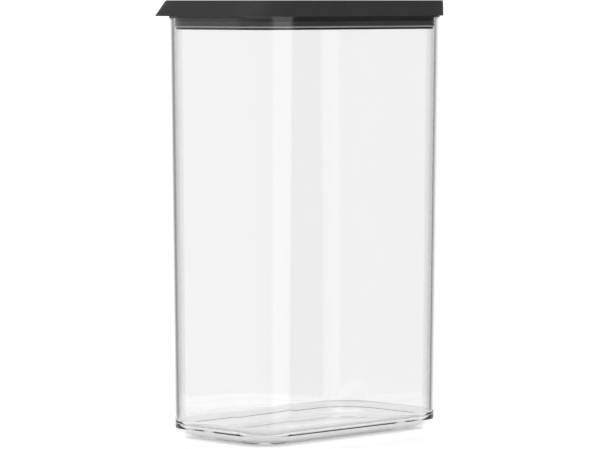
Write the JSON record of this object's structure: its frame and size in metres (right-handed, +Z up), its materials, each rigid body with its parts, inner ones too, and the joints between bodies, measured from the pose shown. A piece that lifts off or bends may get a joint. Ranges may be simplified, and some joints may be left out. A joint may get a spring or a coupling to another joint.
{
  "type": "storage jar with lid",
  "caption": "Tall clear rectangular storage jar with rounded corners, a dark lift-off lid with a lifting lip at one end, and a soft seal ring around the lid's plug.",
  "frame": {"origin": "middle of the whole part's footprint, on the plane the feet stand on", "axes": "+Z up out of the jar, X along the long side with the lid's lifting lip at -X, Y across the short side"},
  "size_m": [0.1768, 0.1006, 0.2604],
  "materials": {
    "jar": "clear rigid plastic, polished inside and out",
    "lid": "dark grey moulded plastic with a fine satin grain",
    "seal": "soft grey elastomer, satin"
  },
  "bodies": {
    "container": {"jar": "jar"},
    "cover": {"lid": "lid", "lid_seal": "seal"}
  },
  "joints": [
    {"name": "lid_lift", "type": "slide", "parent": "container", "child": "cover", "axis": [0, 0, 1], "range_m": [0, 0.12]}
  ]
}
